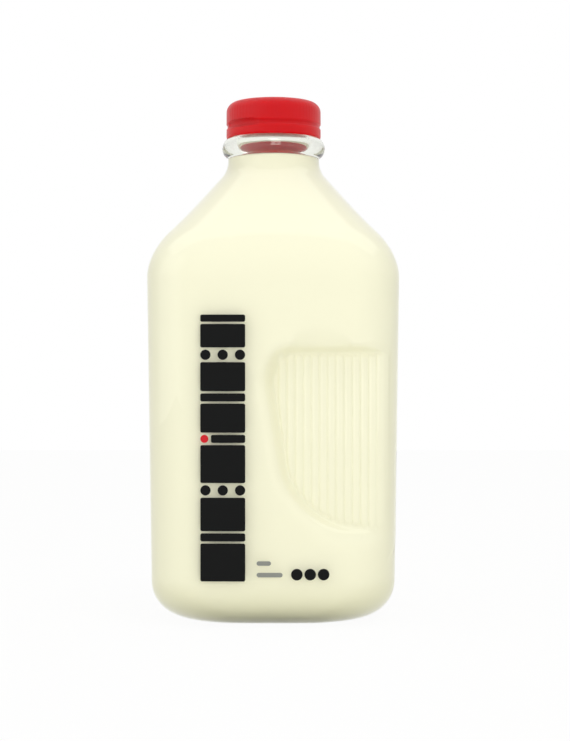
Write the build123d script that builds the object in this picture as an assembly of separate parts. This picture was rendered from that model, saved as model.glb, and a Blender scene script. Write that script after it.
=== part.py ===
from build123d import *
from math import cos, radians, sin, sqrt, tan
import os

# A half-gallon glass milk bottle, rounded square, with a ribbed finger grip let into the front
# and the back, full of milk and shut with a push-on plastic cap. Millimetres. The origin is the
# middle of the base on the table, +Z is up, the front is -Y and the grips are towards +X.

# ---- body of the bottle ----
body_width = 117.6  # across the flats, at the shoulder
taper = 2.0  # how much narrower each side is at the heel than at the shoulder
shoulder_height = 158.3  # where the walls start to turn in
shoulder_radius = 33.3
shoulder_turn = 42.0  # degrees that the shoulder turns before it runs straight to the neck
corner_radius = 21.6
side_bow = 2.5  # degrees that half a side turns, which bows it out by a millimetre
heel_radius = 19.6
base_corner_radius = 26.5  # of the ring that the bottle stands on, rounder than the body
wall = 4.0
base_thickness = 7.5
inner_heel_radius = 14.5
push_up = 3.0  # how far the middle of the base is domed up
push_up_radius = 32.0

# ---- neck and finish ----
neck_radius = 21.9
neck_root_radius = 11.8
neck_length = 2.4  # straight, from the neck's root up to the bead
bead_stand = 3.8  # how far the bead stands out from the finish
bead_height = 7.4
bead_round = 2.6
finish_radius = 20.9  # the ring of glass inside the cap
finish_height = 17.0  # from the top of the bead to the rim
rim_round = 0.9

# ---- finger grip, front and back ----
grip_depth = 8.8  # below the face of the side
grip_left = -2.0  # X of the floor's left side, level with its top
grip_bottom = 41.8  # where the floor's lower side meets the corner of the bottle
grip_top = 124.2
grip_toe = 16.0  # radius of the upper left corner
grip_sweep = 24.0  # radius of the lower left corner
grip_lean = 8.0  # degrees that the left side leans out from upright
grip_rise = 11.0  # degrees that the lower side climbs towards the left
grip_slope = 34.0  # degrees that the grip's wall leans out
grip_fillet = 4.0  # between the wall and the floor
rib_count = 13
rib_pitch = 3.7
rib_width = 3.3
rib_rise = 1.0
rib_first = 4.3  # X of the rib furthest from the corner
rib_inset = 2.0  # from the floor's outline to a rib's end

# ---- cap ----
cap_wall = 1.4
cap_top_wall = 1.6
cap_clearance = 0.4  # between the finish and the inside of the skirt
cap_round = 5.0
cap_inner_round = 1.2
cap_gap = 1.0  # between the bead and the cap's lower edge
band_height = 4.6  # tamper band below the tear groove
groove_height = 2.0
groove_depth = 0.5

# ---- milk ----
headspace = 25.0  # from the rim down to the milk

half_body = body_width / 2
clear = 10.0  # how far a cutting shape runs past what it cuts
half_heel = half_body - taper
bead_radius = finish_radius + bead_stand
turn = radians(shoulder_turn)
neck_split = 22.5  # degrees: a circle has eight equal arcs

# The neck starts where the straight slope and the root's arc have brought the side in to it.
slope_run = half_body - neck_radius - (shoulder_radius + neck_root_radius) * (1 - cos(turn))
neck_bottom = shoulder_height + (shoulder_radius + neck_root_radius) * sin(turn)
neck_bottom += slope_run / tan(turn)
bead_bottom = neck_bottom + neck_length
rim_height = bead_bottom + bead_height + finish_height


def outline(half, corner, split, z):
    """A closed outline at height z: four bowed sides and four corners, tangent to each other.

    split is the angle of the surface where side and corner meet, so 22.5 with corner equal to
    half is a circle in eight parts.
    """
    a = radians(split)
    share = cos(a) - sin(a)
    side = half + (half - corner) * share / (1 - share)
    side_centre = Vector(half - side, 0)
    corner_centre = side_centre + Vector(cos(a), sin(a)) * (side - corner)
    diagonal = corner_centre + Vector(sqrt(0.5), sqrt(0.5)) * corner
    meet = side_centre + Vector(cos(a), sin(a)) * side
    low = Vector(meet.X, -meet.Y)
    edges = []
    for quarter in range(4):
        spin = Location((0, 0, z), (0, 0, 90 * quarter))
        other = Vector(meet.Y, meet.X)
        edges.append(spin * ThreePointArc(low, Vector(half, 0), meet))
        edges.append(spin * ThreePointArc(meet, diagonal, other))
    return Wire([edge.edge() for edge in edges])


def ease(t):
    """0 to 1 with level ends."""
    t = min(max(t, 0.0), 1.0)
    return t * t * (3 - 2 * t)


def stations(inset, floor, heel):
    """(half width, normal's angle, height) up the side, inset into the glass, from the floor."""
    rows = []
    foot = half_heel - inset - heel
    for i in range(7):
        a = radians(-90 + 15 * i)
        rows.append((foot + heel * cos(a), a, floor + heel + heel * sin(a)))
    top = (half_body - inset, shoulder_height)
    low = (half_heel - inset, floor + heel)
    for i in range(1, 6):
        t = i / 6
        rows.append((low[0] + (top[0] - low[0]) * t, 0.0, low[1] + (top[1] - low[1]) * t))
    centre = half_body - shoulder_radius
    arc = shoulder_radius - inset
    for i in range(5):
        a = turn * i / 4
        rows.append((centre + arc * cos(a), a, shoulder_height + arc * sin(a)))
    root = neck_root_radius + inset
    root_centre = neck_radius + neck_root_radius
    slope_end = (root_centre - root * cos(turn), neck_bottom - root * sin(turn))
    slope_start = (rows[-1][0], rows[-1][2])
    for i in range(1, 4):
        t = i / 4
        x = slope_start[0] + (slope_end[0] - slope_start[0]) * t
        rows.append((x, turn, slope_start[1] + (slope_end[1] - slope_start[1]) * t))
    for i in range(5):
        a = turn * (1 - i / 4)
        rows.append((root_centre - root * cos(a), a, neck_bottom - root * sin(a)))
    return rows


def shell(inset, floor, heel):
    """A solid skin of the body, inset into the glass, from its floor up to the neck."""
    wires = []
    for half, angle, z in stations(inset, floor, heel):
        low = ease((z - floor) / heel)
        high = ease((z - shoulder_height) / (neck_bottom - shoulder_height))
        offset = inset * cos(angle)
        corner = base_corner_radius + (corner_radius - base_corner_radius) * low
        corner += (neck_radius - corner_radius) * high
        corner = min(corner - offset, half)
        split = side_bow + (neck_split - side_bow) * high
        if high == 1.0:
            corner = half
        wires.append(outline(half, corner, split, z))
    return Solid.make_loft(wires)


def grip_floor(grow):
    """The floor of the grip, seen from the front, grown all round by the given amount."""
    lean = tan(radians(grip_lean))
    rise = tan(radians(grip_rise))
    right = half_body + clear
    height = grip_top - grip_bottom
    corner_x = (grip_left + lean * (height - rise * half_body)) / (1 - lean * rise)
    corner_z = grip_bottom + rise * (half_body - corner_x)
    ends = [
        (right, grip_bottom - rise * clear),
        (corner_x, corner_z),
        (grip_left, grip_top),
        (right, grip_top),
    ]
    with BuildSketch(Plane.XZ) as sketch:
        with BuildLine():
            FilletPolyline(*ends, radius=[grip_sweep, grip_toe])
            Line(ends[-1], ends[0])
        make_face()
        if grow:
            offset(amount=grow, kind=Kind.ARC)
    return sketch.sketch


def grip_cut(inset):
    """What the grip takes out of the front, or out of the cavity with the wall as inset."""
    floor_y = -(half_body - grip_depth - inset)
    reach = grip_depth + inset + clear
    lean = (1 - cos(radians(grip_slope))) / sin(radians(grip_slope)) * inset
    face = grip_floor(lean)
    cut = extrude(face, reach, taper=-grip_slope)
    floor_edges = cut.edges().group_by(Axis.Y)[-1]
    cut = fillet(floor_edges.filter_by(lambda e: e.center().X < half_body), grip_fillet + inset / 2)
    return Pos(0, floor_y, 0) * cut


def ribs():
    """Upright ribs across the floor of the grip, rounded over at both ends by its outline."""
    floor_y = -(half_body - grip_depth)
    radius = (rib_width**2 / 4 + rib_rise**2) / (2 * rib_rise)
    rows = None
    for i in range(rib_count):
        x = rib_first + rib_pitch * i
        rod = Cylinder(radius, grip_top - grip_bottom + 2 * clear)
        rod = Pos(x, floor_y - rib_rise + radius, (grip_top + grip_bottom) / 2) * rod
        rows = rod if rows is None else rows + rod
    window = extrude(grip_floor(-rib_inset), rib_rise + 1, both=True)
    return rows & (Pos(0, floor_y, 0) * window)


def neck():
    """The neck, the bead under the cap and the finish inside it, before the bore."""
    top = bead_bottom + bead_height
    with BuildPart() as part:
        with BuildSketch(Plane.XZ):
            with BuildLine():
                Polyline(
                    (0, neck_bottom),
                    (neck_radius, neck_bottom),
                    (neck_radius, bead_bottom),
                    (bead_radius, bead_bottom),
                    (bead_radius, top),
                    (finish_radius, top),
                    (finish_radius, rim_height),
                    (0, rim_height),
                    (0, neck_bottom),
                )
            make_face()
        revolve(axis=Axis.Z)
        rings = part.edges().filter_by(GeomType.CIRCLE)
        bead = rings.filter_by(lambda e: abs(e.radius - bead_radius) < 0.01)
        fillet(bead, bead_round)
        rim = part.edges().filter_by(GeomType.CIRCLE).group_by(Axis.Z)[-1]
        fillet(rim, rim_round)
    return part.part


def mirrored(shape):
    return shape + mirror(shape, Plane.XZ)


def cavity():
    """All the room inside the bottle, from its floor out through the mouth."""
    room = shell(wall, base_thickness, inner_heel_radius) - mirrored(grip_cut(wall))
    bore = neck_radius - wall
    mouth = Cylinder(bore, rim_height - neck_bottom + clear, align=(Align.CENTER, Align.CENTER, Align.MIN))
    return room + Pos(0, 0, neck_bottom) * mouth


def bottle(room):
    body = shell(0, 0, heel_radius) - mirrored(grip_cut(0)) + mirrored(ribs()) + neck()
    dome_radius = (push_up_radius**2 + push_up**2) / (2 * push_up)
    body -= Pos(0, 0, push_up - dome_radius) * Sphere(dome_radius)
    return body - room


def milk(room):
    level = rim_height - headspace
    block = Box(body_width, body_width, level, align=(Align.CENTER, Align.CENTER, Align.MIN))
    return room & block


def cap():
    """A domed cap on the rim, with a groove above its tamper band all in one moulding."""
    inner = finish_radius + cap_clearance
    outer = inner + cap_wall
    top = rim_height + cap_top_wall
    bottom = bead_bottom + bead_height + cap_gap
    groove = bottom + band_height
    with BuildPart() as part:
        with BuildSketch(Plane.XZ):
            with BuildLine():
                Polyline(
                    (0, rim_height),
                    (inner, rim_height),
                    (inner, bottom),
                    (outer, bottom),
                    (outer, groove),
                    (outer - groove_depth, groove),
                    (outer - groove_depth, groove + groove_height),
                    (outer, groove + groove_height),
                    (outer, top),
                    (0, top),
                    (0, rim_height),
                )
            make_face()
        revolve(axis=Axis.Z)
        rings = part.edges().filter_by(GeomType.CIRCLE)
        fillet(rings.group_by(Axis.Z)[-1], cap_round)
        ceiling = part.edges().filter_by(GeomType.CIRCLE)
        ceiling = ceiling.filter_by(lambda e: abs(e.radius - inner) < 0.01 and e.center().Z > groove)
        fillet(ceiling, cap_inner_round)
    return part.part


os.makedirs("parts", exist_ok=True)
room = cavity()
pieces = {"bottle": bottle(room), "milk": milk(room), "cap": cap()}
for name, shape in pieces.items():
    solids = shape.solids()
    print(name, len(solids), [round(s.volume / 1000, 1) for s in solids], shape.is_valid)
    export_step(solids[0] if len(solids) == 1 else shape, f"parts/{name}.step")
print("rim", round(rim_height, 2), "neck starts", round(neck_bottom, 2))
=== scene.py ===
# %% [markdown]
# A half-gallon glass milk bottle
#
# The CAD model comes in first and fixes every size: the glass, the milk in it and the cap. Each of
# the three is then made again as a finer mesh with the finish of the real thing. The meshes are
# written straight from rows of points, because a moulded bottle is exactly that: one outline that
# changes slowly as it climbs. All sizes are in millimetres until a mesh is made.

# %% load the model
from math import atan2, cos, pi, radians, sin, sqrt, tan

import bpy
import numpy as np
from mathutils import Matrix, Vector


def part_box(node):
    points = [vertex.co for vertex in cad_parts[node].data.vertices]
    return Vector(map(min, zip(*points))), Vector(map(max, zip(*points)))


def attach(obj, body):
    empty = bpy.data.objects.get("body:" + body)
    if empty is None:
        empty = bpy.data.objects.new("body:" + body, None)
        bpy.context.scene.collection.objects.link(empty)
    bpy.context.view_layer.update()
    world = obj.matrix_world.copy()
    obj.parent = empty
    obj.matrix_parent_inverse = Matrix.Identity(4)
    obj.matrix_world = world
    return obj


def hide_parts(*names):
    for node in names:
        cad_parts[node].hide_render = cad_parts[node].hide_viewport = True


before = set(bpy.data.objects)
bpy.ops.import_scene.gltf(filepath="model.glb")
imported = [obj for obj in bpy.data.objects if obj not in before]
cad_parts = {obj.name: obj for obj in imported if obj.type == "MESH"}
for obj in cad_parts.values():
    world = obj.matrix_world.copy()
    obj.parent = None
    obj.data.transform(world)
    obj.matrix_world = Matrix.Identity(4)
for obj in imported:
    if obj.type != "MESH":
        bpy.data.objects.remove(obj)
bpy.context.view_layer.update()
MM = 0.001


def node_box(node):
    """Lowest and highest corner of a node of the CAD model, in millimetres."""
    low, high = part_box(node)
    return np.array(low) / MM, np.array(high) / MM


glass_low, glass_high = node_box("bottle")
milk_low, milk_high = node_box("milk")
cap_low, cap_high = node_box("cap")
print("glass", glass_low.round(1), glass_high.round(1))
print("milk", milk_low.round(1), milk_high.round(1))
print("cap", cap_low.round(1), cap_high.round(1))

# %% [markdown]
# Two small helpers. Colours are written as sRGB hex, as a paint chart gives them, and Cycles wants
# linear light, so one function converts them. A second adds a shader node with its settings and
# links in one line, which keeps each material short enough to read at a glance.

# %% colour and node helpers
def srgb(code):
    """Linear RGBA of a colour written as sRGB hex."""
    parts = [int(code[i : i + 2], 16) / 255 for i in (0, 2, 4)]
    linear = [p / 12.92 if p <= 0.04045 else ((p + 0.055) / 1.055) ** 2.4 for p in parts]
    return (*linear, 1.0)


def add_node(material, kind, settings=None, links=None):
    """One node of a material. Settings are inputs or properties, links are inputs to feed."""
    node = material.node_tree.nodes.new(kind)
    for name, value in (settings or {}).items():
        if isinstance(name, int) or name in node.inputs:
            node.inputs[name].default_value = value
        else:
            setattr(node, name, value)
    for name, source in (links or {}).items():
        material.node_tree.links.new(source, node.inputs[name])
    return node


def blank_material(name):
    """An empty material and its output node."""
    material = bpy.data.materials.new(name)
    material.use_nodes = True
    material.node_tree.nodes.clear()
    return material, add_node(material, "ShaderNodeOutputMaterial")


def make_piece(name, points, faces, material, node_name=None, slot="glass", smooth=True):
    """A mesh piece from millimetre points, riding on the bottle's body."""
    mesh = bpy.data.meshes.new(name)
    mesh.from_pydata((np.asarray(points) * MM).tolist(), [], faces)
    mesh.validate()
    mesh.update()
    if smooth:
        mesh.shade_smooth()
    mesh.materials.append(material)
    piece = bpy.data.objects.new(name, mesh)
    bpy.context.collection.objects.link(piece)
    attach(piece, "root")
    if node_name:
        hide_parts(node_name)
    triangles = sum(len(polygon.vertices) - 2 for polygon in mesh.polygons)
    print(name, len(mesh.vertices), "points,", triangles, "triangles")
    return piece


# %% [markdown]
# The bottle's sizes. The overall ones are read from the CAD model, and the rest are the ones that
# the mould maker would name: how far the shoulder turns, how thick the wall is, how the heel is
# rounded.

# %% sizes of the bottle
HALF_BODY = 58.8  # half the width at the shoulder
HALF_HEEL = 56.8
SHOULDER_Z, SHOULDER_R, TURN = 158.3, 33.3, radians(42)
CORNER_R, BASE_CORNER_R, SIDE_BOW, ROUND_SPLIT = 21.6, 26.5, 2.5, 22.5
HEEL_R, INNER_HEEL_R, BASE = 19.6, 14.5, 7.5
WALL = 4.0
PUSH_UP, PUSH_UP_R = 3.0, 32.0
NECK_R, ROOT_R, NECK_LENGTH = 21.9, 11.8, 2.4
FINISH_R, BEAD_STAND, BEAD_H = 20.9, 3.8, 7.4
RIM_Z = glass_high[2]

slope_run = HALF_BODY - NECK_R - (SHOULDER_R + ROOT_R) * (1 - cos(TURN))
NECK_Z = SHOULDER_Z + (SHOULDER_R + ROOT_R) * sin(TURN) + slope_run / tan(TURN)
BEAD_Z = NECK_Z + NECK_LENGTH
print("neck starts", round(NECK_Z, 2), "bead", round(BEAD_Z, 2), "rim", round(RIM_Z, 2))

# %% [markdown]
# The outline. Seen from above the bottle is a square of four slightly bowed sides and four round
# corners, tangent to each other, and it turns into a circle at the neck. A column of the mesh keeps
# its place along a side or a corner while the outline shrinks, so the columns flow up into the neck
# as they would on a lathe. They are crowded together where the grip's ribs are, with one on every
# valley between two ribs, so that the valleys stay sharp with few columns.

# %% outline and columns
RIB_COUNT, RIB_FIRST, RIB_PITCH = 13, 4.3, 3.7  # how many ribs, X of the first, spacing
GRIP_COLUMN = RIB_PITCH / 7  # spacing of columns across the ribs
GRIP_FROM, GRIP_TO = RIB_FIRST - 4.5 * RIB_PITCH, 53.8  # X that the crowded columns cover
FADE_FROM, FADE_TO = 53.8, 58.4  # X over which the columns stop being held upright
END_COLUMNS, CORNER_COLUMNS = 14, 11  # columns across a plain side and round a plain corner


def arcs(half, corner, split):
    """Radius and centre of a side's arc, and the centre of a corner's arc."""
    share = cos(split) - sin(split)
    side = half + (half - corner) * share / (1 - share)
    centre = half - side
    corner_x = centre + (side - corner) * cos(split)
    corner_y = (side - corner) * sin(split)
    return side, centre, corner_x, corner_y


def outline_y(x, half, corner, split):
    """How far out the front of the outline is at each X."""
    side, centre, corner_x, corner_y = arcs(half, corner, split)
    meet = side * sin(split)
    on_side = centre + np.sqrt(np.maximum(side**2 - x**2, 0))
    reach = np.maximum(corner**2 - (np.abs(x) - corner_y) ** 2, 0)
    return np.where(np.abs(x) <= meet, on_side, corner_x + np.sqrt(reach))


def front_columns():
    """X of every column from the middle of the left side's edge to the right, on the front."""
    side, centre, corner_x, corner_y = arcs(HALF_BODY, CORNER_R, radians(SIDE_BOW))
    plain = np.linspace(-side * sin(radians(SIDE_BOW)), GRIP_FROM, 12)[:-1]
    ribbed = np.arange(GRIP_FROM, GRIP_TO, GRIP_COLUMN)
    angles = np.arcsin((ribbed[-1] - corner_y) / CORNER_R)
    past = corner_y + CORNER_R * np.sin(np.linspace(angles, pi / 2 - radians(SIDE_BOW), 12)[1:])
    return np.concatenate([plain, ribbed, past])


columns_x = front_columns()
side0, centre0, corner_x0, corner_y0 = arcs(HALF_BODY, CORNER_R, radians(SIDE_BOW))
meet0 = side0 * sin(radians(SIDE_BOW))
is_side = np.abs(columns_x) <= meet0 + 1e-6
side_share = np.arcsin(np.clip(columns_x / side0, -1, 1)) / radians(SIDE_BOW)
corner_turn = np.arcsin(np.clip((columns_x - corner_y0) / CORNER_R, -1, 1)) - radians(SIDE_BOW)
corner_share = corner_turn / (pi / 2 - 2 * radians(SIDE_BOW))
END_SIDE = np.linspace(-1, 1, END_COLUMNS + 2)[1:-1]  # a plain side, between its two corners
LEFT_CORNER = np.linspace(0, 1, CORNER_COLUMNS)


def ring(half, corner, split, hold=0.0):
    """Points of the outline, anticlockwise from above, starting at the front's left.

    hold keeps the front and back columns at their own X, so that ribs run straight up.
    """
    side, centre, corner_x, corner_y = arcs(half, corner, split)
    turn = np.where(is_side, split * side_share, split + (pi / 2 - 2 * split) * corner_share)
    x = np.where(is_side, side * np.sin(turn), corner_y + corner * np.sin(turn))
    y = np.where(is_side, centre + side * np.cos(turn), corner_x + corner * np.cos(turn))
    if hold:
        fade = np.clip((FADE_TO - columns_x) / (FADE_TO - FADE_FROM), 0, 1)
        x = x + hold * fade * (columns_x - x)
        y = np.where(fade > 0, outline_y(x, half, corner, split), y)
    front = np.column_stack([x, -y])
    ends = split * END_SIDE
    right = np.column_stack([centre + side * np.cos(ends), side * np.sin(ends)])
    back = front[::-1] * (1, -1)
    bend = split + (pi / 2 - 2 * split) * LEFT_CORNER[:-1]
    bend_x, bend_y = corner_y + corner * np.sin(bend), corner_x + corner * np.cos(bend)
    corner_back = np.column_stack([-bend_x, bend_y])
    left = -right
    corner_front = (corner_back * (1, -1))[::-1]
    return np.vstack([front, right, back, corner_back[1:], left, corner_front[:-1]])


print("columns round the bottle:", len(ring(HALF_BODY, CORNER_R, radians(SIDE_BOW))))

# %% [markdown]
# The side view. A heel rounded under, a wall that leans out by two millimetres, a big shoulder
# radius, a straight slope and a small radius into the neck. The inside follows it a wall's
# thickness in, with its own tighter heel on the thick base.

# %% side view
FINE_BANDS = ((41, 66), (109, 137))  # heights where the grip begins and ends
GRIP_ROWS = (40, 140)  # heights that hold the whole grip
FINE_STEP, GRIP_STEP, PLAIN_STEP = 1.2, 2.4, 4.5


def ease(t):
    """0 to 1 with level ends."""
    t = min(max(t, 0.0), 1.0)
    return t * t * (3 - 2 * t)


def body_heights(low, high):
    """Heights up the straight wall: close together where the ribs end, wider apart elsewhere."""
    heights = [low]
    while heights[-1] < high:
        z = heights[-1]
        near_end = any(start < z < stop for start, stop in FINE_BANDS)
        on_grip = GRIP_ROWS[0] < z < GRIP_ROWS[1]
        heights.append(z + (FINE_STEP if near_end else GRIP_STEP if on_grip else PLAIN_STEP))
    return heights[1:-1]


def stations(inset, floor, heel):
    """(half width, angle of the surface, height) from the heel up to the neck."""
    foot = HALF_HEEL - inset - heel
    rows = []
    for i in range(13):
        a = radians(-90 + 7.5 * i)
        rows.append((foot + heel * cos(a), a, floor + heel + heel * sin(a)))
    low_half, low_z = HALF_HEEL - inset, floor + heel
    lean = (HALF_BODY - HALF_HEEL) / (SHOULDER_Z - low_z)
    for z in body_heights(low_z, SHOULDER_Z):
        rows.append((low_half + lean * (z - low_z), 0.0, z))
    for i in range(17):
        a = TURN * i / 16
        arc = SHOULDER_R - inset
        rows.append((HALF_BODY - SHOULDER_R + arc * cos(a), a, SHOULDER_Z + arc * sin(a)))
    root = ROOT_R + inset
    middle = NECK_R + ROOT_R
    slope_end = (middle - root * cos(TURN), NECK_Z - root * sin(TURN))
    start = (rows[-1][0], rows[-1][2])
    for i in range(1, 10):
        t = i / 10
        half = start[0] + (slope_end[0] - start[0]) * t
        rows.append((half, TURN, start[1] + (slope_end[1] - start[1]) * t))
    for i in range(9):
        a = TURN * (1 - i / 8)
        rows.append((middle - root * cos(a), a, NECK_Z - root * sin(a)))
    return rows


def section(half, angle, z, inset, floor, heel):
    """Half width, corner radius and split of the outline at one station."""
    low = ease((z - floor) / heel)
    high = ease((z - SHOULDER_Z) / (NECK_Z - SHOULDER_Z))
    corner = BASE_CORNER_R + (CORNER_R - BASE_CORNER_R) * low + (NECK_R - CORNER_R) * high
    corner = min(corner - inset * cos(angle), half)
    return half, corner, radians(SIDE_BOW + (ROUND_SPLIT - SIDE_BOW) * high)


# %% [markdown]
# The finger grip. Fingers go in at the front and a thumb at the back, so both have the same
# pocket: a D-shaped floor that runs out at the corner, a wall that slopes up to the face with a
# soft lip, a scooped ceiling, and thirteen upright ribs. It is a height field: for every X and Z it
# gives how far out the glass stands, and the lower of face and grip wins, blended over a few
# millimetres. A boolean would leave a hard edge that no glass mould has.

# %% the grip
GRIP_DEPTH = 8.8
GRIP_LEFT, GRIP_LEFT_Z, GRIP_LEAN = 0.3, 108.0, radians(9)  # a point on the left side, its lean
GRIP_LOW, GRIP_LOW_X, GRIP_RISE = 47.4, 24.0, radians(8)  # a point on the lower side, its rise
GRIP_TOP = 124.2
SWEEP_R, TOE_R = 24.0, 17.0
WALL_RUN = 6.4  # how far out the wall needs to climb from the floor to the face
LIP, TOP_LIP = 4.2, 1.6  # rounding of the grip's lip, at its sides and at the top
CREASE = 0.9  # radius where the wall meets the floor
BEVEL_RUN, BEVEL_RISE = 3.1, 5.8  # first step of the ceiling
DOME_X, DOME_HALF, DOME_RISE = 21.5, 14.0, 6.8  # the scoop in the ceiling
RIB_RISE, RIB_TOP, RIB_INSET, RIB_END = 1.25, 123.2, 1.2, 1.4
GROOVE_X, GROOVE_WIDE, GROOVE_DEEP = 52.2, 0.8, 1.3  # upright groove where the ribs stop
INNER_RIB = 0.95  # share of the ribs' rise that the inside follows
REACH_LEFT, REACH_LOW, REACH_HIGH = -14, 30, 146  # the part of the face that the grip can touch
REACH_IN = 20  # and how far from the middle that face is at least


def round_outside(a, b, radius):
    """Signed distance past two edges that meet in a rounded corner."""
    past = np.sqrt(np.maximum(a + radius, 0) ** 2 + np.maximum(b + radius, 0) ** 2)
    return np.minimum(np.maximum(a, b), -radius) + past


def soft_min(a, b, width):
    """The lower of two heights, blended where they are close."""
    t = np.clip(0.5 + 0.5 * (b - a) / width, 0, 1)
    return b + (a - b) * t - width * t * (1 - t)


def floor_outline(x, z):
    """Signed distance outside the floor's left and lower edges."""
    left = (GRIP_LEFT - x) * cos(GRIP_LEAN) + (GRIP_LEFT_Z - z) * sin(GRIP_LEAN)
    low = (GRIP_LOW - z) * cos(GRIP_RISE) + (GRIP_LOW_X - x) * sin(GRIP_RISE)
    return round_outside(left, low, SWEEP_R), left


def ceiling_height(x, over):
    """Height over the floor above the grip's top edge: a steep bevel, then the thumb's scoop."""
    dome = np.clip(1 - ((x - DOME_X) / DOME_HALF) ** 2, 0, 1) ** 0.7 * DOME_RISE + 0.7
    bevel = np.clip(over / BEVEL_RUN, 0, 1) * BEVEL_RISE
    return bevel + np.maximum(over - BEVEL_RUN, 0) / dome * (GRIP_DEPTH - BEVEL_RISE)


def rib_height(x, z, outside):
    """Half-round ribs that meet in a sharp valley and end short of the floor's edge."""
    phase = (x - RIB_FIRST) / RIB_PITCH
    rib = RIB_RISE * np.abs(np.cos(np.pi * phase)) ** 0.9
    rib = np.where((phase < -0.5) | (phase > RIB_COUNT - 0.5), 0, rib)
    ends = np.minimum(-outside - RIB_INSET, RIB_TOP - z)
    return rib * np.sqrt(np.clip(1 - np.clip(1 - ends / RIB_END, 0, 1) ** 2, 0, 1))


def grip_height(x, z, inset, ribs):
    """How far out from the middle plane the grip's surface stands."""
    outside, left = floor_outline(x, z)
    outside = outside - inset * 0.15
    over = z - GRIP_TOP - inset * 0.1
    climb = GRIP_DEPTH / WALL_RUN
    side_wall = climb * (np.sqrt(outside**2 + CREASE**2) + outside) / 2
    past_left, past_top = np.maximum(left + TOE_R, 0), np.maximum(over + TOE_R, 0)
    toe = np.maximum(np.hypot(past_left, past_top) - np.maximum(past_top, TOE_R), 0)
    height = np.maximum(side_wall, ceiling_height(x, over) + climb * toe)
    if ribs:
        on_floor = np.clip(-outside, 0, 1) * np.clip(-over, 0, 1)
        groove = GROOVE_DEEP * np.clip(1 - ((x - GROOVE_X) / GROOVE_WIDE) ** 2, 0, 1)
        height = height + ribs * (rib_height(x, z, outside) - groove * on_floor)
    return HALF_BODY - GRIP_DEPTH - inset + height


def press_grips(points, inset, ribs):
    """Push the front and back of a ring of points in to the grip."""
    x, y, z = points[:, 0], points[:, 1], points[:, 2]
    near = (x > REACH_LEFT) & (np.abs(y) > REACH_IN) & (z > REACH_LOW) & (z < REACH_HIGH)
    x, z = x[near], z[near]
    soft = np.clip((GRIP_TOP - z) / 12, 0, 1)
    lip = TOP_LIP + (LIP - TOP_LIP) * soft
    grip = grip_height(x, z, inset, ribs)
    points[near, 1] = np.sign(y[near]) * soft_min(np.abs(y[near]), grip, lip)
    return points


# %% [markdown]
# The glass. One closed skin: the outside from the middle of the push-up under the base, out round
# the heel and up to the rim, then down the bore and the inside to the floor. The bead under the cap
# is where the mould gripped the neck while the body was blown.

# %% rows of the glass
HOLD_FROM, HOLD_FULL, HOLD_LESS, HOLD_TO = 26, 40, 140, 152  # heights with upright columns
BEAD_OVER, BEAD_ROUND = 0.9, 3.4  # added above and below the bead, and its radius outwards


def row(half, corner, split, z, inset, ribs=0.0):
    """One ring of the skin at a height."""
    rise = ease((z - HOLD_FROM) / (HOLD_FULL - HOLD_FROM))
    hold = rise * ease((HOLD_TO - z) / (HOLD_TO - HOLD_LESS))
    flat = ring(half, corner, split, hold)
    points = np.column_stack([flat, np.full(len(flat), z)])
    return press_grips(points, inset, ribs)


def round_row(radius, z):
    return row(radius, radius, radians(ROUND_SPLIT), z, 0)


def outside_rows():
    rows = []
    for i in range(9):
        r = 0.4 + (PUSH_UP_R - 0.4) * i / 8
        rows.append(round_row(r, PUSH_UP * (1 - (r / PUSH_UP_R) ** 2)))
    foot = HALF_HEEL - HEEL_R
    for t in (0.25, 0.6):
        half = PUSH_UP_R + (foot - PUSH_UP_R) * t
        corner = half + (BASE_CORNER_R - foot) * t
        split = radians(ROUND_SPLIT + (SIDE_BOW - ROUND_SPLIT) * t)
        rows.append(row(half, corner, split, 0.0, 0))
    for half, angle, z in stations(0, 0, HEEL_R):
        rows.append(row(*section(half, angle, z, 0, 0, HEEL_R), z, 0, 1.0))
    return rows


def neck_profile():
    """(radius, height) up the outside of the neck, over the bead, the finish and the rim."""
    middle, high = BEAD_Z + BEAD_H / 2, BEAD_H / 2 + BEAD_OVER
    start = FINISH_R + BEAD_STAND - BEAD_ROUND
    points = [(NECK_R, BEAD_Z - 1.8), (NECK_R + 0.2, BEAD_Z - 0.9)]
    for i in range(17):
        a = radians(-70 + 9.2 * i)
        points.append((start + BEAD_ROUND * cos(a), middle + high * sin(a)))
    points += [(FINISH_R + 0.25, middle + high + 0.05), (FINISH_R, middle + high + 0.5)]
    points += [(FINISH_R, RIM_Z - 6), (FINISH_R, RIM_Z - 1.0)]
    for i in range(1, 5):
        a = radians(22.5 * i)
        points.append((FINISH_R - 0.9 + 0.9 * cos(a), RIM_Z - 0.9 + 0.9 * sin(a)))
    bore = NECK_R - WALL
    points += [(bore + 0.8, RIM_Z), (bore + 0.25, RIM_Z - 0.3), (bore, RIM_Z - 0.9)]
    points += [(bore, RIM_Z - 8), (bore, RIM_Z - 16), (bore, BEAD_Z)]
    return points


def inside_rows(reach=0.0, top=None):
    """From the neck down to the middle of the floor. reach moves the skin out into the wall."""
    inset = WALL - reach
    floor = BASE - reach
    rows = []
    for half, angle, z in reversed(stations(inset, floor, INNER_HEEL_R + reach)):
        if top is None or z < top - 0.5:
            args = section(half, angle, z, inset, floor, INNER_HEEL_R + reach)
            rows.append(row(*args, z, inset, INNER_RIB))
    last = HALF_HEEL - inset - INNER_HEEL_R - reach
    for i in range(1, 9):
        r = last * (1 - i / 8) + 0.4
        corner = r + (BASE_CORNER_R - inset - last) * (1 - i / 8) ** 2
        split = radians(ROUND_SPLIT + (SIDE_BOW - ROUND_SPLIT) * (1 - i / 8) ** 2)
        rows.append(row(r, min(corner, r), split, floor, 0))
    return rows


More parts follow.
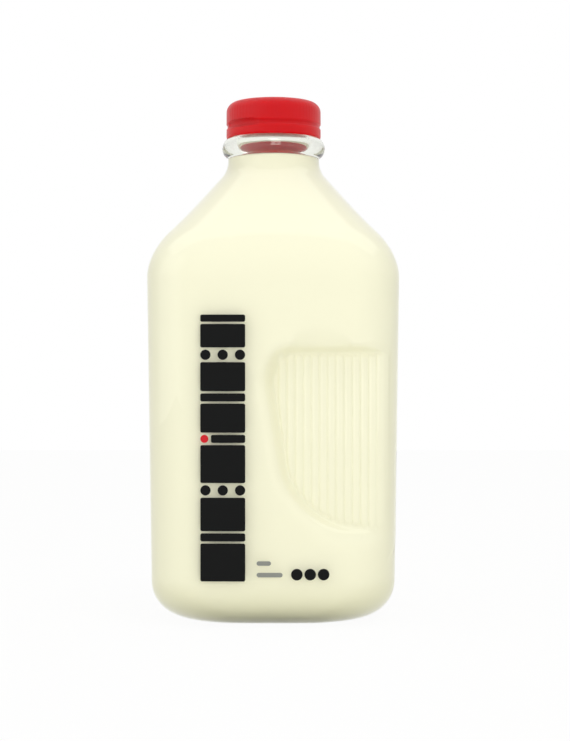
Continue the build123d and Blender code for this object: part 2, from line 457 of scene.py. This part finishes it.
def skin(rows):
    """Points and faces of a tube of rings, closed at both ends by a fan."""
    count = len(rows[0])
    points = np.vstack(rows + [rows[0].mean(axis=0)[None], rows[-1].mean(axis=0)[None]])
    faces = []
    for r in range(len(rows) - 1):
        for c in range(count):
            d = (c + 1) % count
            faces.append((r * count + c, r * count + d, (r + 1) * count + d, (r + 1) * count + c))
    first, last = len(rows) * count, len(rows) * count + 1
    end = (len(rows) - 1) * count
    for c in range(count):
        d = (c + 1) % count
        faces.append((first, d, c))
        faces.append((last, end + c, end + d))
    return points, faces


glass_rows = outside_rows() + [round_row(r, z) for r, z in neck_profile()] + inside_rows()
print("rings of glass:", len(glass_rows))

# %% [markdown]
# Soda-lime glass, blow-moulded. It is clear with a faint grey-green in the thick parts, such as the
# base and where the wall is seen on edge, so its colour comes from absorption inside the glass, not
# from a tint on its surface. Cycles finds little light through refracting glass in a few bounces, so
# a shadow ray and the ray of a diffuse bounce see the glass as open: the milk behind it is then lit
# as brightly as milk in real glass is. The camera still sees every reflection and bend.

# %% glass material
def soda_lime_glass():
    material, output = blank_material("soda_lime_glass_blow_moulded")
    surface = add_node(
        material,
        "ShaderNodeBsdfPrincipled",
        {"Base Color": srgb("FBFCF8"), "Roughness": 0.0, "IOR": 1.52, "Transmission Weight": 1.0},
    )
    open_way = add_node(material, "ShaderNodeBsdfTransparent")
    path = add_node(material, "ShaderNodeLightPath")
    mix = surface
    for ray in ("Is Diffuse Ray", "Is Shadow Ray"):
        mix = add_node(
            material,
            "ShaderNodeMixShader",
            links={0: path.outputs[ray], 1: mix.outputs[0], 2: open_way.outputs[0]},
        )
    depth = add_node(
        material, "ShaderNodeVolumeAbsorption", {"Color": srgb("C9CDB4"), "Density": 16.0}
    )
    material.node_tree.links.new(mix.outputs[0], output.inputs["Surface"])
    material.node_tree.links.new(depth.outputs[0], output.inputs["Volume"])
    return material


glass = soda_lime_glass()
bottle = make_piece("glass_bottle", *skin(glass_rows), glass, "bottle", "glass")

# %% [markdown]
# The milk. Real milk touches the glass with no air between. If both meshes ended on the same
# surface, Cycles would find a hair of air there and mirror light in it, so the milk is made a third
# of a millimetre larger and ends inside the wall. Its top is flat with a small meniscus that climbs
# the bore.

# %% milk
MILK_REACH = 0.3
MILK_TOP = milk_high[2]
MENISCUS = 0.8


def milk_rows():
    bore = NECK_R - WALL + MILK_REACH
    profile = [(0.5, 0), (bore - 4, 0), (bore - 1.8, 0.1), (bore - 0.6, MENISCUS * 0.5)]
    profile += [(bore, MENISCUS), (bore, -0.6)]
    rows = [round_row(radius, MILK_TOP + above) for radius, above in profile]
    return rows + inside_rows(MILK_REACH, MILK_TOP)


def whole_milk():
    """Fresh whole milk: fat and protein scatter light just under its surface."""
    material, output = blank_material("whole_milk")
    surface = add_node(
        material,
        "ShaderNodeBsdfPrincipled",
        {
            "Base Color": srgb("FBF8DE"),
            "Roughness": 0.35,
            "IOR": 1.35,
            "Specular IOR Level": 0.2,
        },
    )
    material.node_tree.links.new(surface.outputs[0], output.inputs["Surface"])
    return material


milk = make_piece("milk_fill", *skin(milk_rows()), whole_milk(), "milk", "milk")

# %% [markdown]
# The cap. A thin moulded polyethylene cap that is pushed over the finish: a rounded top, a skirt
# with fine grip flutes, and a tamper band below a tear groove. It is a turned profile whose radius
# is varied round the skirt.

# %% cap
CAP_R = cap_high[0]
CAP_TOP, CAP_BOTTOM = cap_high[2], cap_low[2]
CAP_WALL, CAP_TOP_WALL, CAP_ROUND = 1.4, 1.6, 5.0
BAND_H, GROOVE_H, GROOVE_D = 4.6, 2.0, 0.5
FLUTES, FLUTE_DEPTH = 72, 0.06
TAB_AT, TAB_HALF = radians(135), radians(27)  # where the tear groove opens, and half its length
TAB_OPEN, TAB_DEEP = 0.65, 0.55
CAP_COLUMNS = 432


def cap_profile():
    """(radius, height, share of flute) from the middle of the top down outside and up inside."""
    groove = CAP_BOTTOM + BAND_H
    rows = [(0.3, CAP_TOP - 0.5, 0), (9, CAP_TOP - 0.5, 0), (15.6, CAP_TOP - 0.5, 0)]
    rows += [(16.1, CAP_TOP - 0.35, 0), (16.6, CAP_TOP - 0.08, 0), (17.2, CAP_TOP, 0)]
    for i in range(9):
        a = radians(90 - 10 * i - 5)
        r = CAP_R - CAP_ROUND + CAP_ROUND * cos(a)
        rows.append((r, CAP_TOP - CAP_ROUND + CAP_ROUND * sin(a), max(0, (i - 4) / 4)))
    upper = groove + GROOVE_H
    rows += [(CAP_R, upper + 4, 1), (CAP_R, upper + 1.2, 1), (CAP_R, upper + 0.8, 0.3)]
    rows += [(CAP_R - 0.02, upper + 0.25, 0), (CAP_R - 0.2, upper, 0)]
    rows += [(CAP_R - GROOVE_D, upper - 0.1, 0), (CAP_R - GROOVE_D, groove + 0.1, 0)]
    rows += [(CAP_R - 0.2, groove, 0), (CAP_R - 0.02, groove - 0.25, 0), (CAP_R, groove - 1.2, 0)]
    rows += [(CAP_R, CAP_BOTTOM + 1.0, 0), (CAP_R - 0.15, CAP_BOTTOM + 0.3, 0)]
    rows += [(CAP_R - 0.5, CAP_BOTTOM, 0), (CAP_R - CAP_WALL + 0.3, CAP_BOTTOM, 0)]
    inner = CAP_R - CAP_WALL
    rows += [(inner, CAP_BOTTOM + 0.4, 0), (inner, CAP_TOP - 4, 0)]
    rows += [(inner - 0.5, CAP_TOP - CAP_TOP_WALL, 0), (0.3, CAP_TOP - CAP_TOP_WALL, 0)]
    return rows


def cap_rows():
    """The profile turned round, with flutes, and with the tear groove opened wider at its tab."""
    turn = np.arange(CAP_COLUMNS) * 2 * pi / CAP_COLUMNS
    tab = np.sqrt(np.clip(1 - ((turn - TAB_AT) / TAB_HALF) ** 2, 0, 1))
    middle = CAP_BOTTOM + BAND_H + GROOVE_H / 2
    rows = []
    for radius, z, share in cap_profile():
        r = radius - FLUTE_DEPTH * share * (1 - np.abs(np.cos(turn * FLUTES / 2)) ** 1.5)
        if radius > CAP_R - 0.6 and abs(z - middle) < GROOVE_H / 2 + 0.4:
            z = z + tab * TAB_OPEN * (z - middle) / (GROOVE_H / 2)
            r = r - tab * TAB_DEEP * (radius < CAP_R - 0.3)
        z = z + 0 * turn
        rows.append(np.column_stack([r * np.cos(turn), -r * np.sin(turn), z]))
    return rows


def red_polyethylene():
    """Injection-moulded red polyethylene: a satin skin over slightly translucent plastic."""
    material, output = blank_material("polyethylene_injection_moulded_red")
    place = add_node(material, "ShaderNodeTexCoord")
    grain = add_node(
        material,
        "ShaderNodeTexNoise",
        {"Scale": 1 / (1.2 * MM), "Detail": 3.0},
        {"Vector": place.outputs["Object"]},
    )
    rough = add_node(
        material,
        "ShaderNodeMapRange",
        {"To Min": 0.32, "To Max": 0.42},
        {"Value": grain.outputs["Fac"]},
    )
    surface = add_node(
        material,
        "ShaderNodeBsdfPrincipled",
        {
            "Base Color": srgb("CC0A14"),
            "IOR": 1.51,
            "Specular IOR Level": 0.25,
            "Subsurface Weight": 1.0,
            "Subsurface Radius": (1.0, 0.12, 0.10),
            "Subsurface Scale": 0.004,
        },
        {"Roughness": rough.outputs["Result"]},
    )
    material.node_tree.links.new(surface.outputs[0], output.inputs["Surface"])
    return material


cap = make_piece("bottle_cap", *skin(cap_rows()), red_polyethylene(), "cap", "cap")

# %% [markdown]
# The print. Milk bottles are decorated with ceramic enamel: coloured glass powder that is screened
# on and fired, so it is a thin raised layer with a soft shine. Here it is a plain column of bars,
# blocks and rows of dots, with one red dot, and a few small marks beside its foot. Each shape is a
# thin slab that follows the bowed face.

# %% enamel print
ENAMEL = 0.12  # thickness of the fired layer
COLUMN_X0, COLUMN_X1 = -32.4, -12.3
COLUMN_Z0, COLUMN_Z1 = 21.5, 141.0
DOT_X, DOT_Z, DOT_SIZE, DOT_STEP = 8.2, 22.0, 5.2, 6.0  # three black dots beside the column's foot
LINE_X, LINE_H = -7.2, 2.0  # two grey lines between them and the column
LINES = ((28.6, 6.4), (23.4, 11.6))  # height and length of each


def face_y(x, z):
    """Y of the bottle's front at a point of the straight wall."""
    half = HALF_HEEL + (HALF_BODY - HALF_HEEL) * (z - HEEL_R) / (SHOULDER_Z - HEEL_R)
    return -float(outline_y(np.array([x]), half, CORNER_R, radians(SIDE_BOW))[0])


def patch(x0, x1, z0, z1, radius):
    """A rectangle with round corners on the front face, as a fan of thin raised points."""
    radius = min(radius, (x1 - x0) / 2 - 0.01, (z1 - z0) / 2 - 0.01)
    corners = [(x1 - radius, z1 - radius, 0), (x0 + radius, z1 - radius, 90)]
    corners += [(x0 + radius, z0 + radius, 180), (x1 - radius, z0 + radius, 270)]
    rim = []
    for cx, cz, start in corners:
        for i in range(7):
            a = radians(start + 15 * i)
            rim.append((cx + radius * cos(a), cz + radius * sin(a)))
    count = len(rim)
    points = [((x0 + x1) / 2, face_y((x0 + x1) / 2, (z0 + z1) / 2) - ENAMEL, (z0 + z1) / 2)]
    points += [(x, face_y(x, z) - ENAMEL, z) for x, z in rim]
    points += [(x, face_y(x, z) + 0.05, z) for x, z in rim]
    points.append((points[0][0], points[0][1] + ENAMEL + 0.05, points[0][2]))
    faces = []
    for i in range(count):
        j = (i + 1) % count
        faces.append((0, 1 + j, 1 + i))
        faces.append((1 + i, 1 + j, 1 + count + j, 1 + count + i))
        faces.append((2 * count + 1, 1 + count + i, 1 + count + j))
    return points, faces


def join_patches(shapes):
    points, faces = [], []
    for shape in shapes:
        some, more = patch(*shape)
        faces += [tuple(i + len(points) for i in face) for face in more]
        points += some
    return points, faces


def row_of(kind, z, height):
    """One row of the column: a block or bar, three dots, or a bar that a red dot starts."""
    if kind == "dots":
        step = (COLUMN_X1 - COLUMN_X0 - height) / 2
        lefts = [COLUMN_X0 + i * step for i in range(3)]
        return [(x, x + height, z, z + height, height / 2) for x in lefts]
    left = COLUMN_X0 + (height + 1.2 if kind == "spot" else 0)
    return [(left, COLUMN_X1, z, z + height, 0.8)]


def column_shapes():
    """All black shapes of the column from the bottom up, and the place of the red dot."""
    rows = [(17, "block"), (3.6, "bar"), (15, "block"), (4.6, "dots")]
    rows += [(17, "block"), (3.6, "spot"), (13, "block"), (3.6, "bar")]
    rows += [(13, "block"), (4.6, "dots"), (10.5, "block"), (3.2, "bar")]
    gap = (COLUMN_Z1 - COLUMN_Z0 - sum(height for height, kind in rows)) / (len(rows) - 1)
    z, shapes, spot = COLUMN_Z0, [], None
    for height, kind in rows:
        shapes += row_of(kind, z, height)
        if kind == "spot":
            spot = (COLUMN_X0, COLUMN_X0 + height, z, z + height, height / 2)
        z += height + gap
    print("gap between the column's rows", round(gap, 2))
    return shapes, spot


def enamel(name, colour):
    material, output = blank_material(name)
    place = add_node(material, "ShaderNodeTexCoord")
    speckle = add_node(
        material,
        "ShaderNodeTexNoise",
        {"Scale": 1 / (0.4 * MM), "Detail": 2.0},
        {"Vector": place.outputs["Object"]},
    )
    rough = add_node(
        material,
        "ShaderNodeMapRange",
        {"To Min": 0.28, "To Max": 0.45},
        {"Value": speckle.outputs["Fac"]},
    )
    surface = add_node(
        material,
        "ShaderNodeBsdfPrincipled",
        {"Base Color": srgb(colour), "IOR": 1.5, "Specular IOR Level": 0.12},
        {"Roughness": rough.outputs["Result"]},
    )
    material.node_tree.links.new(surface.outputs[0], output.inputs["Surface"])
    return material


black_enamel = enamel("ceramic_enamel_black", "0B0C0C")
blacks, red_spot = column_shapes()
make_piece("print_column", *join_patches(blacks), black_enamel, None, "print", False)
dot_lefts = [DOT_X + DOT_STEP * i for i in range(3)]
dots = [(x, x + DOT_SIZE, DOT_Z, DOT_Z + DOT_SIZE, DOT_SIZE / 2) for x in dot_lefts]
make_piece("print_dots", *join_patches(dots), black_enamel, None, "print", False)
lines = [(LINE_X, LINE_X + length, z, z + LINE_H, LINE_H / 2) for z, length in LINES]
grey = enamel("ceramic_enamel_grey", "8A8C86")
make_piece("print_lines", *join_patches(lines), grey, None, "print", False)
red_enamel = enamel("ceramic_enamel_red", "C8242C")
make_piece("print_spot", *join_patches([red_spot]), red_enamel, None, "print", False)

# %% [markdown]
# The floor. The bottle stands in a white tent, on a pale floor that runs into a white room. The floor
# is plain white to the camera and in the glass, apart from a small share that keeps the bottle's
# soft shadow.

# %% floor
WHITE_SHARE = 0.94
FLOOR_HALF = 1.6  # metres


def seen_share(material, share):
    """A factor that is share for what the camera sees, straight or in glass, and 0 for light."""
    path = add_node(material, "ShaderNodeLightPath")
    seen = add_node(
        material,
        "ShaderNodeMath",
        {"operation": "MAXIMUM"},
        {0: path.outputs["Is Camera Ray"], 1: path.outputs["Is Transmission Ray"]},
    )
    both = add_node(
        material,
        "ShaderNodeMath",
        {"operation": "MAXIMUM"},
        {0: seen.outputs[0], 1: path.outputs["Is Glossy Ray"]},
    )
    return add_node(
        material, "ShaderNodeMath", {"operation": "MULTIPLY", 1: share}, {0: both.outputs[0]}
    ).outputs[0]


def stage_material():
    material, output = blank_material("pale_floor")
    paint = add_node(material, "ShaderNodeBsdfDiffuse", {"Color": srgb("F4F4F0")})
    white = add_node(material, "ShaderNodeEmission", {"Strength": 1.0})
    mix = add_node(
        material,
        "ShaderNodeMixShader",
        links={0: seen_share(material, WHITE_SHARE), 1: paint.outputs[0], 2: white.outputs[0]},
    )
    material.node_tree.links.new(mix.outputs[0], output.inputs["Surface"])
    return material


def make_floor():
    corners = [(FLOOR_HALF * x, FLOOR_HALF * y, 0) for x, y in ((-1, -1), (1, -1), (1, 1), (-1, 1))]
    mesh = bpy.data.meshes.new("floor")
    mesh.from_pydata(corners, [], [(0, 1, 2, 3)])
    mesh.materials.append(stage_material())
    floor = bpy.data.objects.new("floor", mesh)
    bpy.context.collection.objects.link(floor)
    return floor


make_floor()

# %% [markdown]
# The light. The camera sees the room at strength 1, in reflections and in the glass too, and it
# lights the bottle half as strongly, so that pale milk doesn't burn out. Three feathered panels are
# a little brighter than the room: one overhead, which shows as a bright sheen on the sloping
# shoulder, and one at each side, which show as soft upright bands in the round corners. They are
# painted in the world instead of being lamps, because a lamp has a hard edge in a reflection. Two
# lamps are hidden from reflections: a steep key lamp shades the grip under its ceiling, and a low
# fill lamp in front lights the face evenly down to the heel.

# %% light
ROOM_LIGHT = 0.5  # strength with which the room lights things
TOP_GLOW, LEFT_GLOW, RIGHT_GLOW = 0.7, 0.6, 0.1  # how much brighter than the room each panel is


def world_math(world, operation, *values):
    """One sum on one or two values, each a number or a socket."""
    numbers = {i: v for i, v in enumerate(values) if isinstance(v, (int, float))}
    sockets = {i: v for i, v in enumerate(values) if i not in numbers}
    settings = {"operation": operation, **numbers}
    return add_node(world, "ShaderNodeMath", settings, sockets).outputs[0]


def feather(world, value, zero_at, one_at):
    """0 to 1 as the value goes from one number to the other, with soft ends."""
    settings = {"interpolation_type": "SMOOTHSTEP", "From Min": zero_at, "From Max": one_at}
    return add_node(world, "ShaderNodeMapRange", settings, {"Value": value}).outputs["Result"]


def panel(world, glow, edges):
    """A panel of the world that is bright between its feathered edges."""
    share = glow
    for value, zero_at, one_at in edges:
        share = world_math(world, "MULTIPLY", feather(world, value, zero_at, one_at), share)
    return share


def studio():
    world = bpy.data.worlds.new("studio")
    bpy.context.scene.world = world
    world.use_nodes = True
    background = world.node_tree.nodes["Background"]
    background.inputs["Color"].default_value = (1, 1, 1, 1)
    way = add_node(world, "ShaderNodeTexCoord").outputs["Generated"]
    axes = add_node(world, "ShaderNodeSeparateXYZ", links={0: way})
    x, y, z = axes.outputs
    up = world_math(world, "MAXIMUM", z, 0.01)
    front = world_math(world, "DIVIDE", y, up)
    across = world_math(world, "DIVIDE", world_math(world, "ABSOLUTE", x), up)
    turn = world_math(world, "ARCTAN2", x, world_math(world, "MULTIPLY", y, -1.0))
    panels = [
        panel(world, TOP_GLOW, [(front, -0.36, -0.16), (front, 0.7, 0.4), (across, 1.1, 0.8)]),
        panel(world, LEFT_GLOW, [(turn, -0.35, -0.8), (turn, -1.9, -1.4), (z, 0.85, 0.6)]),
        panel(world, RIGHT_GLOW, [(turn, 0.35, 0.8), (turn, 1.9, 1.4), (z, 0.85, 0.6)]),
    ]
    strength = world_math(world, "ADD", seen_share(world, 1 - ROOM_LIGHT), ROOM_LIGHT)
    for part in panels:
        strength = world_math(world, "ADD", part, strength)
    world.node_tree.links.new(strength, background.inputs["Strength"])


def hidden_lamp(name, place, target, size, power):
    """A square lamp that lights the bottle but isn't mirrored in it."""
    lamp = bpy.data.lights.new(name, "AREA")
    lamp.size, lamp.energy = size, power
    holder = bpy.data.objects.new(name, lamp)
    holder.location = place
    away = np.array(place) - np.array(target)
    pitch = atan2(sqrt(away[0] ** 2 + away[1] ** 2), away[2])
    holder.rotation_euler = (pitch, 0, atan2(away[0], -away[1]))
    holder.visible_glossy = False
    bpy.context.collection.objects.link(holder)
    print(name, round(90 - pitch * 180 / pi), "degrees up")


studio()
hidden_lamp("key", (0.25, -0.42, 1.2), (0.02, 0, 0.1), 0.3, 2.4)
hidden_lamp("fill", (0.15, -1.3, 0.15), (0, 0, 0.1), 0.6, 5.6)

# %% [markdown]
# The camera stands level with the lower half of the bottle, a short stride away, so the cap is seen
# a little from below and the base a little from above.

# %% camera
camera_data = bpy.data.cameras.new("camera")
camera_data.lens = 80
camera_data.sensor_width = 36
camera = bpy.data.objects.new("camera", camera_data)
camera.location = (5.5 * MM, -794 * MM, 116 * MM)
camera.rotation_euler = (pi / 2, 0, 0)
bpy.context.collection.objects.link(camera)
bpy.context.scene.camera = camera
bpy.context.scene.view_settings.view_transform = "Standard"
